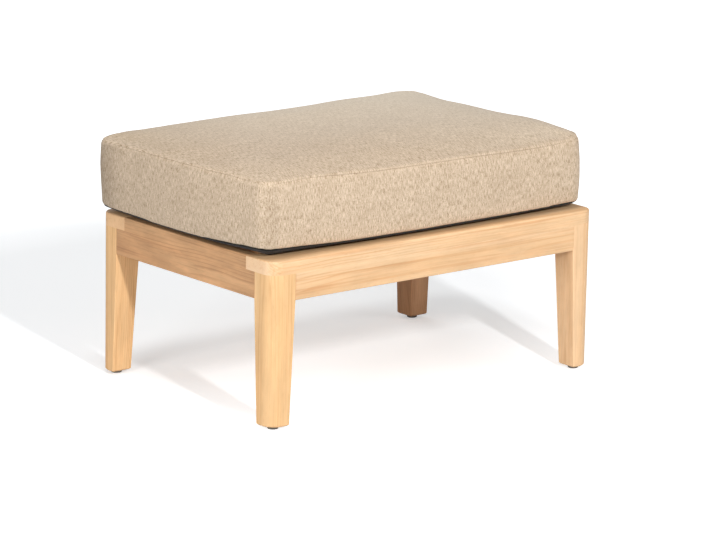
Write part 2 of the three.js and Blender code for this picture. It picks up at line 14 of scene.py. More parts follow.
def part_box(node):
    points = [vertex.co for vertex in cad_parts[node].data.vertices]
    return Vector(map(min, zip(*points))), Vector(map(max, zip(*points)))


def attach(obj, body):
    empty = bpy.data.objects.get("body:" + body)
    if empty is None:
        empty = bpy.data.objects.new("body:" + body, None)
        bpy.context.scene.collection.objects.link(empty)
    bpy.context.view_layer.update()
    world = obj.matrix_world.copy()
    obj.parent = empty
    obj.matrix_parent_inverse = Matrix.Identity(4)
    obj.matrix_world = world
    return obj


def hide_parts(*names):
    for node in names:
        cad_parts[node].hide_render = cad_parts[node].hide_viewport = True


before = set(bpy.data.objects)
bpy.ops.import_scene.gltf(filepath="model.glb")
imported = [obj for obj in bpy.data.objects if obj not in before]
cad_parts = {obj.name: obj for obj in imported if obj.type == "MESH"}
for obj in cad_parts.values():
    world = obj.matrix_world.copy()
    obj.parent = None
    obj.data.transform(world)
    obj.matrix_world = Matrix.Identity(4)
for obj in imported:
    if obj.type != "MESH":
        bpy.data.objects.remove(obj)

LOG = logging.getLogger("ottoman")
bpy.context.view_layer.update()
MM = 0.001

Rgb = tuple[int, int, int]
Pair = tuple[float, float]
Triple = tuple[float, float, float]
Socket = bpy.types.NodeSocket
Material = bpy.types.Material
Piece = bpy.types.Object
Shape = bmesh.types.BMesh
Edge = bmesh.types.BMEdge
# A point of the seams' plan, the way out there, and how much of a corner it is.
PlanPoint = tuple[Vector, Vector, float]

# Near-black of the base cloth, which also stands for the shadow in the gap under the cushion's edge.
BASE_BLACK: Rgb = (10, 7, 5)
WHITE = (1.0, 1.0, 1.0, 1.0)
# How far the cover's back lies past the zip's tape.
TAPE_DEPTH = 0.4 * MM
# A wave texture's bands lie about this many metres apart at a scale of 1.
BAND_WIDTH = 0.31
# A mix node's sockets for its share and two colours, and for the mixed colour.
MIX_INPUTS = (0, 6, 7)
MIX_OUTPUT = 2


class Grain(Enum):
    """The way that a board's fibres run, with the number of that axis."""

    ALONG_X = 0
    ALONG_Y = 1
    ALONG_Z = 2


def linear(colour: Rgb) -> tuple[float, float, float, float]:
    """Turns a colour as seen on a screen into the linear colour of a shader.

    Args:
        colour: Red, green and blue from 0 to 255.

    Returns:
        The linear colour with an alpha of 1.
    """
    parts = []
    for share in (value / 255 for value in colour):
        parts.append(share / 12.92 if share <= 0.04045 else ((share + 0.055) / 1.055) ** 2.4)
    return (*parts, 1.0)


def set_all(target: object, **values: object) -> None:
    """Sets a target's properties by name."""
    for name, value in values.items():
        setattr(target, name, value)


@dataclass(frozen=True)
class Pattern:
    """A noise: its scale along each axis, its octaves, the finer ones' strength, and its useful range."""

    scale: Triple
    octaves: float = 2.0
    rough: float = 0.5
    contrast: Pair = (0.35, 0.7)


class Graph:
    """A short way to write a material's nodes."""

    def __init__(self, name: str) -> None:
        """Starts a material with a principled shader.

        Args:
            name: The material's name.
        """
        self.material = bpy.data.materials.new(name)
        self.material.use_nodes = True
        self.tree = self.material.node_tree
        self.tree.nodes.clear()
        self.output = self.node("ShaderNodeOutputMaterial")
        self.shader = self.node("ShaderNodeBsdfPrincipled")
        self.join(self.shader.outputs[0], self.output.inputs["Surface"])

    def node(self, kind: str, **values: object) -> bpy.types.Node:
        """Adds a node and sets its properties.

        Args:
            kind: The node's type.
            **values: Properties by name.

        Returns:
            The new node.
        """
        made = self.tree.nodes.new(kind)
        set_all(made, **values)
        return made

    def join(self, source: object, target: Socket) -> None:
        """Links an output socket to an input socket, or sets the input to a plain value.

        Args:
            source: An output socket, a number or a vector.
            target: The input socket.
        """
        if isinstance(source, Socket):
            self.tree.links.new(source, target)
        else:
            target.default_value = source

    def fill(self, made: bpy.types.Node, *sources: object) -> bpy.types.Node:
        """Gives a node its first inputs in order.

        Args:
            made: The node.
            *sources: Output sockets or plain values.

        Returns:
            The same node.
        """
        for source, socket in zip(sources, made.inputs):
            self.join(source, socket)
        return made

    def place(self, space: str = "Object") -> Socket:
        """Gives the coordinates that a pattern reads: Object, UV or Normal."""
        return self.node("ShaderNodeTexCoord").outputs[space]

    def axes(self, source: object) -> tuple[Socket, ...]:
        """Splits a vector into its X, Y and Z."""
        return tuple(self.fill(self.node("ShaderNodeSeparateXYZ"), source).outputs)

    def stored(self, name: str) -> Socket:
        """Reads a value that the mesh carries under a name."""
        return self.node("ShaderNodeAttribute", attribute_type="GEOMETRY", attribute_name=name).outputs["Fac"]

    def math(self, operation: str, first: object, second: object = 0.0) -> Socket:
        """Does one sum, named as in the math node, on one or two values."""
        return self.fill(self.node("ShaderNodeMath", operation=operation), first, second).outputs[0]

    def times(self, first: object, second: object) -> Socket:
        """Multiplies two values."""
        return self.math("MULTIPLY", first, second)

    def total(self, *parts: tuple[object, object]) -> Socket:
        """Adds up values, each times its own weight.

        Args:
            *parts: Each value with its weight.

        Returns:
            The sum.
        """
        result = self.times(*parts[0])
        for value, weight in parts[1:]:
            result = self.math("ADD", result, self.times(value, weight))
        return result

    def cloud(self, source: object, pattern: Pattern, shift: Triple = (0, 0, 0),
              to: Pair | None = None) -> Socket:
        """Adds a noise.

        Args:
            source: The coordinates.
            pattern: The noise's pattern.
            shift: A shift along each axis, after the scale.
            to: What the ends of the pattern's range become. Without it the noise stays as it is.

        Returns:
            The noise's value.
        """
        mapping = self.fill(self.node("ShaderNodeMapping"), source)
        mapping.inputs["Scale"].default_value = pattern.scale
        mapping.inputs["Location"].default_value = shift
        made = self.node("ShaderNodeTexNoise")
        self.join(mapping.outputs[0], made.inputs["Vector"])
        made.inputs["Scale"].default_value = 1.0
        made.inputs["Detail"].default_value = pattern.octaves
        made.inputs["Roughness"].default_value = pattern.rough
        return self.span(made.outputs[0], pattern.contrast, to) if to else made.outputs[0]

    def bands(self, source: object, way: str, width: float) -> Socket:
        """Adds straight bands.

        Args:
            source: The coordinates.
            way: The axis that they follow one another along.
            width: How far apart they are.

        Returns:
            The bands' value.
        """
        made = self.node("ShaderNodeTexWave", wave_type="BANDS", bands_direction=way, wave_profile="SIN")
        self.join(source, made.inputs["Vector"])
        made.inputs["Scale"].default_value = BAND_WIDTH / width
        return made.outputs[0]

    def span(self, value: object, source: Pair, target: Pair = (0.0, 1.0), smooth: bool = False) -> Socket:
        """Maps one range to another and stops at its ends, which can be eased."""
        made = self.node("ShaderNodeMapRange", interpolation_type="SMOOTHSTEP" if smooth else "LINEAR")
        return self.fill(made, value, *source, *target).outputs[0]

    def blend(self, share: object, first: object, second: object, mode: str = "MIX") -> Socket:
        """Mixes two colours.

        Args:
            share: How much of the second there is.
            first: The first colour.
            second: The second colour.
            mode: The way of mixing.

        Returns:
            The mixed colour.
        """
        made = self.node("ShaderNodeMix", data_type="RGBA", blend_type=mode)
        for source, index in zip((share, first, second), MIX_INPUTS):
            self.join(source, made.inputs[index])
        return made.outputs[MIX_OUTPUT]

    def surface(self, colour: object, roughness: object, specular: float = 0.5) -> None:
        """Gives the shader its colour and its shine.

        Args:
            colour: The colour.
            roughness: The roughness.
            specular: The strength of the reflections.
        """
        self.join(colour, self.shader.inputs["Base Color"])
        self.join(roughness, self.shader.inputs["Roughness"])
        self.shader.inputs["Specular IOR Level"].default_value = specular

    def bump(self, height: object, strength: float, depth: float) -> None:
        """Turns a height into a bumped normal and gives it to the shader.

        Args:
            height: The height.
            strength: The strength.
            depth: The depth in metres that a height of 1 stands for.
        """
        made = self.node("ShaderNodeBump")
        made.inputs["Strength"].default_value = strength
        made.inputs["Distance"].default_value = depth
        self.join(height, made.inputs["Height"])
        self.join(made.outputs[0], self.shader.inputs["Normal"])


@dataclass(frozen=True)
class TeakTone:
    """The colours of one board, and how blotchy it is."""

    light: Rgb = (240, 204, 162)
    deep: Rgb = (228, 184, 136)
    line: Rgb = (208, 142, 86)
    end: Rgb = (250, 216, 180)
    blotch: float = 0.07


@dataclass(frozen=True)
class TeakFinish:
    """Sanded teak with growth rings round a pith that lies off the board.

    Each fade, a painted shade along the board, is a start and a stop along the grain and how dark the board
    is at the start.
    """

    board: str
    grain: Grain
    pith: Pair
    tone: TeakTone = TeakTone()
    fades: tuple[Triple, ...] = ()
    step: Triple = (1.61, 3.37, 5.29)
    ring_pitch: float = 3.6 * MM
    wander: float = 9.0 * MM
    unevenness: float = 6.0 * MM
    late_wood: Pair = (0.55, 0.96)
    sway: Pattern = Pattern((2.6, 9.0, 9.0), 2.0, 0.45)
    uneven: Pattern = Pattern((0.6, 60.0, 60.0), 1.0, 0.4)
    figure: Pattern = Pattern((1.8, 26.0, 26.0), 3.0, 0.55, (0.3, 0.7))
    broken: Pattern = Pattern((4.0, 90.0, 90.0), 2.0, 0.6, (0.38, 0.68))
    streak: Pattern = Pattern((3.0, 210.0, 210.0), 2.0, 0.6, (0.54, 0.72))
    mottle: Pattern = Pattern((11.0, 38.0, 38.0), 3.0, 0.6, (0.3, 0.7))
    fibre: Pattern = Pattern((22.0, 620.0, 620.0), 2.0, 0.6, (0.2, 0.8))
    pore: Pattern = Pattern((75.0, 1100.0, 1100.0), 1.0, 0.5, (0.62, 0.74))
    ring_share: Pair = (0.05, 0.5)
    streak_share: Pair = (0.0, 0.45)
    pore_share: float = 0.3
    fibre_shade: Pair = (0.93, 1.05)
    end_slope: Pair = (0.75, 0.97)
    end_share: Pair = (0.0, 0.42)
    roughness: Pair = (0.51, 0.66)
    specular: float = 0.38
    relief: float = 0.16 * MM

    def material(self, order: int) -> Material:
        """Makes the material.

        Args:
            order: The board's number, which shifts its patterns.

        Returns:
            The teak material.
        """
        graph = Graph("teak_" + self.board)
        axis = self.grain.value
        parts = graph.axes(graph.place())
        along, across, up = parts[axis], *(part for part in parts if part is not parts[axis])
        turned = graph.fill(graph.node("ShaderNodeCombineXYZ"), along, across, up).outputs[0]
        cloud = partial(graph.cloud, turned, shift=tuple(part * order for part in self.step))

        side = graph.math("SUBTRACT", across, self.pith[0])
        rise = graph.math("SUBTRACT", up, self.pith[1])
        from_pith = graph.math("SQRT", graph.total((side, side), (rise, rise)))
        sway = graph.math("SUBTRACT", cloud(self.sway), 0.5)
        reach = graph.total((from_pith, 1.0), (sway, 2 * self.wander), (cloud(self.uneven), self.unevenness))
        wave = graph.math("FRACT", graph.math("DIVIDE", reach, self.ring_pitch))
        sharp_end = graph.span(wave, (self.late_wood[1], 1.0), (1.0, 0.0))
        late = graph.times(graph.span(wave, self.late_wood, smooth=True), sharp_end)
        fibre = cloud(self.fibre)
        pore = cloud(self.pore, to=(0.0, 1.0))

        line = linear(self.tone.line)
        body = graph.blend(cloud(self.figure, to=(0.0, 1.0)), linear(self.tone.light), linear(self.tone.deep))
        body = graph.blend(graph.times(cloud(self.broken, to=self.ring_share), late), body, line)
        body = graph.blend(cloud(self.streak, to=self.streak_share), body, line)
        body = graph.blend(graph.times(pore, self.pore_share), body, line)
        mottle = cloud(self.mottle, to=(1 - 1.3 * self.tone.blotch, 1 + 0.8 * self.tone.blotch))
        shade = graph.times(graph.span(fibre, self.fibre.contrast, self.fibre_shade), mottle)
        for start, stop, level in self.fades:
            shade = graph.times(shade, graph.span(along, (start, stop), (level, 1.0)))
        body = graph.blend(1.0, body, shade, "MULTIPLY")
        slope = graph.math("ABSOLUTE", graph.axes(graph.place("Normal"))[axis])
        body = graph.blend(graph.span(slope, self.end_slope, self.end_share, smooth=True), body,
                           linear(self.tone.end))
        graph.surface(body, graph.span(fibre, self.fibre.contrast, self.roughness), self.specular)
        graph.bump(graph.total((fibre, 0.5), (pore, -0.8), (late, -0.25)), 0.35, self.relief)
        return graph.material


@dataclass(frozen=True)
class WeaveFinish:
    """Heathered outdoor cloth, with painted shade along its top seam, in two corners of its boxing and toward
    the left of its top, and painted light toward the back of its top.
    """

    name: str = "cushion_weave"
    light: Rgb = (226, 206, 183)
    middle: Rgb = (206, 184, 158)
    dark: Rgb = (158, 133, 105)
    # Colour of the painted shade along the top seam's groove.
    seam: Rgb = (118, 92, 68)
    # Colour of the painted light on the top.
    painted_top_light: Rgb = (255, 236, 207)
    # Colour of the painted shade at the left of the top.
    top_left_shade: Rgb = (232, 226, 217)
    # Colour of the painted shade in the boxing's corners.
    corner: Rgb = (90, 76, 60)
    yarn: float = 1.35 * MM
    fleck: float = 9.5 * MM
    seam_width: float = 1.1 * MM
    seam_shade_share: float = 0.4
    broad: Pattern = Pattern((28.0, 19.0, 1.0))
    top_light_share: Pair = (0.0, 0.47)
    top_light_stretch: Pair = (-200 * MM, 350 * MM)
    top_left_shade_stretch: Pair = (-650 * MM, -250 * MM)
    top_edge: Pair = (0.0, 30 * MM)
    relief: float = 0.4 * MM

    def material(self) -> Material:
        """Makes the material.

        Returns:
            The weave material.
        """
        graph = Graph(self.name)
        cloth = graph.place("UV")
        slub = graph.cloud(cloth, Pattern((1 / self.yarn, 1 / self.fleck, 1.0), 2.0, 0.6))
        fine = graph.cloud(cloth, Pattern((2.3 / self.yarn, 3.6 / self.fleck, 1.0), 1.0, 0.5), (7.1, 3.3, 0))
        patch = graph.cloud(cloth, Pattern((0.22 / self.yarn, 0.7 / self.fleck, 1.0)), (4.4, 8.2, 0))
        tone = graph.total((slub, 0.53), (fine, 0.35), (patch, 0.12))
        body = graph.blend(graph.span(tone, (0.38, 0.5)), linear(self.dark), linear(self.middle))
        body = graph.blend(graph.span(tone, (0.5, 0.6)), body, linear(self.light))
        broad = graph.cloud(cloth, self.broad, (2.7, 5.9, 0), to=(0.0, 0.16))
        body = graph.blend(broad, body, linear(self.dark))

        top_side, base_side = graph.stored("top_seam"), graph.stored("base_seam")
        seam_edge = (0.25 * self.seam_width, 1.2 * self.seam_width)
        seam = graph.span(graph.math("ABSOLUTE", top_side), seam_edge, (1.0, 0.0), smooth=True)
        # Painted shade along the top seam, weaker at the corners.
        seam_shade = graph.times(seam, graph.stored("seam_shade_weight"))
        body = graph.blend(graph.times(seam_shade, self.seam_shade_share), body, linear(self.seam))
        x, y, _ = graph.axes(graph.place())
        on_top = graph.span(top_side, self.top_edge, smooth=True)
        # Painted light on the top, stronger toward its back and right.
        top_light_share = graph.span(graph.total((x, 0.5), (y, 1.0)), self.top_light_stretch, self.top_light_share)
        body = graph.blend(graph.times(top_light_share, on_top), body, linear(self.painted_top_light), "SCREEN")
        # Painted shade on the top, darker toward its left end and back-left corner.
        top_left_shade = graph.span(graph.total((x, 1.2), (y, -1.0)), self.top_left_shade_stretch, (1.0, 0.0))
        body = graph.blend(graph.times(top_left_shade, on_top), body, linear(self.top_left_shade), "MULTIPLY")
        # Painted shade at the near and back-left corners of the boxing.
        body = graph.blend(graph.stored("corner_shade"), body, linear(self.corner), "MULTIPLY")
        # The base turns near-black: dark cloth that also stands for the shadow under the cushion's edge.
        body = graph.blend(graph.span(base_side, (-0.2 * MM, 0.2 * MM)), body, linear(BASE_BLACK))
        graph.surface(body, 0.92, 0.2)
        graph.shader.inputs["Sheen Weight"].default_value = 0.12
        graph.shader.inputs["Sheen Roughness"].default_value = 0.5

        knit = graph.times(graph.bands(cloth, "X", 0.5 * self.yarn), graph.bands(cloth, "Y", 0.5 * self.yarn))
        base_edge = (0.0, 1.4 * self.seam_width)
        trench = graph.span(graph.math("ABSOLUTE", base_side), base_edge, (1.0, 0.0), smooth=True)
        dip = graph.math("MAXIMUM", seam, trench)
        graph.bump(graph.total((slub, 1.1), (knit, 0.35), (dip, -2.4)), 0.45, self.relief)
        return graph.material


@dataclass(frozen=True)
class BaseClothFinish:
    """The dark non-slip cloth under the cushion, made near-black and without shine so that it also stands for
    the shadow in the gap under the cushion's edge.
    """

    name: str = "cushion_base_cloth"
    colour: Rgb = BASE_BLACK
    mesh: Rgb = (20, 15, 12)
    pitch: float = 1.1 * MM

    def material(self) -> Material:
        """Makes the material.

        Returns:
            The dark cloth's material.
        """
        graph = Graph(self.name)
        pattern = Pattern((1 / self.pitch, 1 / self.pitch, 1 / self.pitch), 1.0, 0.5, (0.4, 0.6))
        speck = graph.cloud(graph.place(), pattern)
        body = graph.blend(graph.span(speck, pattern.contrast), linear(self.colour), linear(self.mesh))
        graph.surface(body, 1.0, 0.02)
        graph.bump(speck, 0.3, 0.2 * MM)
        return graph.material


@dataclass(frozen=True)
class ClothStripFinish:
    """Plain woven strip, such as the zip's tape and the hems beside it."""

    name: str
    light: Rgb
    dark: Rgb
    rib: float = 0.8 * MM
    slub: Pattern = Pattern((500.0, 500.0, 250.0), 2.0, 0.6, (0.35, 0.65))

    def material(self) -> Material:
        """Makes the material.

        Returns:
            The strip's material.
        """
        graph = Graph(self.name)
        place = graph.place()
        slub = graph.cloud(place, self.slub)
        body = graph.blend(graph.span(slub, self.slub.contrast), linear(self.dark), linear(self.light))
        graph.surface(body, 0.9, 0.25)
        graph.bump(graph.math("ADD", slub, graph.bands(place, "Z", self.rib)), 0.4, 0.2 * MM)
        return graph.material


@dataclass(frozen=True)
class MouldedFinish:
    """Moulded nylon with a fine, worn surface."""

    name: str
    colour: Rgb
    scuffed: Rgb
    roughness: float = 0.5
    speck: Pattern = Pattern((1600.0, 1600.0, 1600.0))
    scuff: Pattern = Pattern((160.0, 160.0, 420.0), 3.0, 0.6, (0.52, 0.72))

    def material(self) -> Material:
        """Makes the material.

        Returns:
            The nylon's material.
        """
        graph = Graph(self.name)
        place = graph.place()
        scuff = graph.cloud(place, self.scuff)
        body = graph.blend(graph.span(scuff, self.scuff.contrast), linear(self.colour), linear(self.scuffed))
        graph.surface(body, graph.span(scuff, (0.4, 0.7), (self.roughness, self.roughness + 0.2)))
        graph.bump(graph.cloud(place, self.speck), 0.25, 0.08 * MM)
        return graph.material


@dataclass(frozen=True)
class MetalFinish:
    """Plated or stainless metal with fine brush marks."""

    name: str
    colour: Rgb = (196, 197, 198)
    roughness: float = 0.34
    dullness: float = 0.84
    marks: Pattern = Pattern((60.0, 1500.0, 1500.0), 2.0, 0.6, (0.3, 0.7))
    cloudy: Pattern = Pattern((220.0, 220.0, 220.0))

    def material(self) -> Material:
        """Makes the material.

        Returns:
            The metal's material.
        """
        graph = Graph(self.name)
        place = graph.place()
        brush = graph.cloud(place, self.marks)
        dull = linear(tuple(int(part * self.dullness) for part in self.colour))
        body = graph.blend(graph.cloud(place, self.cloudy, to=(0.0, 1.0)), linear(self.colour), dull)
        shine = (self.roughness - 0.08, self.roughness + 0.12)
        graph.surface(body, graph.span(brush, self.marks.contrast, shine))
        graph.shader.inputs["Metallic"].default_value = 1.0
        graph.bump(brush, 0.2, 0.05 * MM)
        return graph.material


def add_object(name: str, data: bpy.types.ID) -> Piece:
    """Adds an object to the scene.

    Args:
        name: The object's name.
        data: Its mesh, camera or lamp.

    Returns:
        The new object.
    """
    made = bpy.data.objects.new(name, data)
    bpy.context.scene.collection.objects.link(made)
    return made


def add_mesh(name: str, shape: Shape) -> Piece:
    """Turns a bmesh into an object.

    Args:
        name: The object's name.
        shape: The bmesh, which is freed.

    Returns:
        The new object.
    """
    data = bpy.data.meshes.new(name)
    shape.to_mesh(data)
    shape.free()
    return add_object(name, data)


def add_piece(name: str, shape: Shape, body: str) -> Piece:
    """Turns a bmesh into a piece that rides on a body.

    Args:
        name: The piece's name.
        shape: The bmesh, which is freed.
        body: The body that the piece moves with.

    Returns:
        The new piece.
    """
    piece = add_mesh(name, shape)
    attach(piece, body)
    return piece


def add_ring(shape: Shape, places: list[Triple]) -> list[Edge]:
    """Adds a closed ring through some places to a bmesh and gives its edges."""
    ring = [shape.verts.new(place) for place in places]
    return [shape.edges.new((ring[i - 1], ring[i])) for i in range(len(ring))]


def add_block(shape: Shape, place: Vector, size: Vector) -> list[bmesh.types.BMVert]:
    """Adds a block with a middle and a size to a bmesh and gives its corners."""
    matrix = Matrix.Translation(place) @ Matrix.Diagonal((*size, 1))
    return bmesh.ops.create_cube(shape, size=1.0, matrix=matrix)["verts"]


def soften(shape: Shape, edges: Iterable[Edge], width: float, steps: int) -> None:
    """Rounds edges of a bmesh, listed once or more, by a width and in some steps."""
    bmesh.ops.bevel(shape, geom=list(dict.fromkeys(edges)), offset=width, offset_type="OFFSET",
                    segments=steps, profile=0.5, affect="EDGES", material=-1)


def dress(piece: Piece, material: Material) -> None:
    """Gives a piece one material."""
    piece.data.materials.clear()
    piece.data.materials.append(material)


@dataclass
class RoundShading:
    """Shades a machined piece smoothly over its small angles and keeps its edges crisp."""

    angle: float = math.radians(32)
    weld: float = 0.02 * MM
    group: bpy.types.NodeTree | None = None

    def build(self) -> None:
        """Builds the node group that the modifiers share."""
        tree = bpy.data.node_groups.new("round_shading", "GeometryNodeTree")
        for way in ("INPUT", "OUTPUT"):
            tree.interface.new_socket("Geometry", in_out=way, socket_type="NodeSocketGeometry")
        start = tree.nodes.new("NodeGroupInput")
        weld = tree.nodes.new("GeometryNodeMergeByDistance")
        weld.inputs["Distance"].default_value = self.weld
        bend = tree.nodes.new("GeometryNodeInputMeshEdgeAngle")
        crisp = tree.nodes.new("FunctionNodeCompare")
        set_all(crisp, data_type="FLOAT", operation="GREATER_THAN")
        crisp.inputs["B"].default_value = self.angle
        normal = tree.nodes.new("GeometryNodeSetMeshNormal")
        normal.inputs["Remove Custom"].default_value = True
        end = tree.nodes.new("NodeGroupOutput")
        tree.links.new(start.outputs[0], weld.inputs["Geometry"])
        tree.links.new(weld.outputs[0], normal.inputs["Mesh"])
        tree.links.new(bend.outputs["Unsigned Angle"], crisp.inputs["A"])
        tree.links.new(crisp.outputs[0], normal.inputs["Edge Sharpness"])
        tree.links.new(normal.outputs[0], end.inputs[0])
        self.group = tree

    def dress(self, name: str, material: Material) -> None:
        """Gives a solid piece its material and its shading.

        Args:
            name: The piece's name.
            material: The material.
        """
        if self.group is None:
            self.build()
        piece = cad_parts[name]
        dress(piece, material)
        modifier = piece.modifiers.new("round_shading", "NODES")
        modifier.node_group = self.group
        LOG.info("%s: %s", name, material.name)


@dataclass
class TeakFrame:
    """The legs, cap rails, aprons, slats and batten."""

    shading: RoundShading
    centre: Vector = field(default_factory=Vector)
    slat_count: int = 8

    def build(self) -> None:
        """Finds the middle of the frame from its legs."""
        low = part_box("leg_front_left")[0]
        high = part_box("leg_back_right")[1]
        self.centre = (low + high) / 2

    def finishes(self) -> list[TeakFinish]:
        """Lists each board's finish: its grain, the place of its pith and its tone.

        Returns:
            The finishes.
        """
        fair = TeakTone()
        pale = TeakTone((246, 210, 168), (236, 193, 147), (214, 158, 104), (241, 206, 168))
        warm = TeakTone((243, 199, 146), (232, 181, 125), (206, 144, 86), (241, 202, 160))
        rosy = TeakTone((242, 198, 152), (226, 175, 127), (200, 142, 88), (240, 198, 152))
        dusky = TeakTone((230, 181, 133), (204, 151, 106), (172, 114, 72), (233, 193, 154), 0.15)
        # A darker copy of the teak that paints the shade under the deck onto the back right leg.
        shaded = TeakTone((219, 169, 127), (191, 142, 102), (164, 110, 70), (224, 184, 146))
        gold = TeakTone((241, 201, 151), (231, 185, 131), (210, 150, 90), (240, 200, 152))
        # Painted shade at both ends of the left apron.
        painted_end_shades = ((0.22, 0.02, 0.84), (-0.2, -0.07, 0.87))
        listed = [
            TeakFinish("leg_front_left", Grain.ALONG_Z, (-0.62, -0.31), gold),
            TeakFinish("leg_front_right", Grain.ALONG_Z, (0.28, -0.45), pale),
            TeakFinish("leg_back_left", Grain.ALONG_Z, (-0.43, 0.12), warm),
            TeakFinish("leg_back_right", Grain.ALONG_Z, (0.47, 0.27), shaded),
            TeakFinish("cap_rail_front", Grain.ALONG_X, (-0.16, 0.17), fair),
            TeakFinish("cap_rail_back", Grain.ALONG_X, (0.31, 0.16), rosy),
            TeakFinish("apron_front", Grain.ALONG_X, (-0.31, 0.215), fair),
            TeakFinish("apron_back", Grain.ALONG_X, (0.36, 0.19), rosy),
            TeakFinish("apron_left", Grain.ALONG_Y, (-0.43, 0.205), dusky, painted_end_shades),
            TeakFinish("apron_right", Grain.ALONG_Y, (0.41, 0.23), fair),
            TeakFinish("slat_batten", Grain.ALONG_X, (0.05, 0.16), dusky),
        ]
        for index in range(self.slat_count):
            tone = (fair, rosy, gold, dusky)[index * 3 % 4]
            pith = (0.02 * (index * 5 % 7) - 0.4 + 0.1 * index, 0.18 + 0.01 * (index % 3))
            listed.append(TeakFinish(f"deck_slat_{index + 1}", Grain.ALONG_Y, pith, tone))
        return listed

    def dress(self) -> None:
        """Gives each board its own teak."""
        for index, finish in enumerate(self.finishes()):
            self.shading.dress(finish.board, finish.material(index))


@dataclass
class FloorGlides:
    """The nylon glides under the feet."""

    shading: RoundShading
    names: tuple[str, ...] = ("front_left", "front_right", "back_left", "back_right")

    def dress(self) -> None:
        """Gives the glides their nylon."""
        nylon = MouldedFinish("glide_nylon", (114, 109, 102), (138, 132, 124)).material()
        for name in self.names:
            self.shading.dress("glide_" + name, nylon)


@dataclass
class BattenScrews:
    """The screws that hold the slats to the batten."""

    shading: RoundShading
    count: int = 8

    def dress(self) -> None:
        """Gives the screws their steel."""
        steel = MetalFinish("screw_steel", (186, 187, 188), 0.38).material()
        for index in range(self.count):
            self.shading.dress(f"batten_screw_{index + 1}", steel)


@dataclass(frozen=True)
class Spot:
    """A place on the cushion's plan, from its middle, and its reach, in metres."""

    across: float
    deep: float
    reach: float

    def share(self, away: Vector, power: int = 2) -> float:
        """Tells how strongly the spot acts on a place from the middle: 1 at the spot and less outside."""
        gap = math.hypot(away.x - self.across, away.y - self.deep)
        return math.exp(-((gap / self.reach) ** power))


@dataclass(frozen=True)
class Uneven(Spot):
    """A place where the stuffing lifts the top and base seams and slides them, in metres."""

    top: float
    base: float = 0.0
    slide: Pair = (0.0, 0.0)


@dataclass(frozen=True)
class PaintedCornerShade(Spot):
    """A place on the boxing with painted shade."""

    depth: float


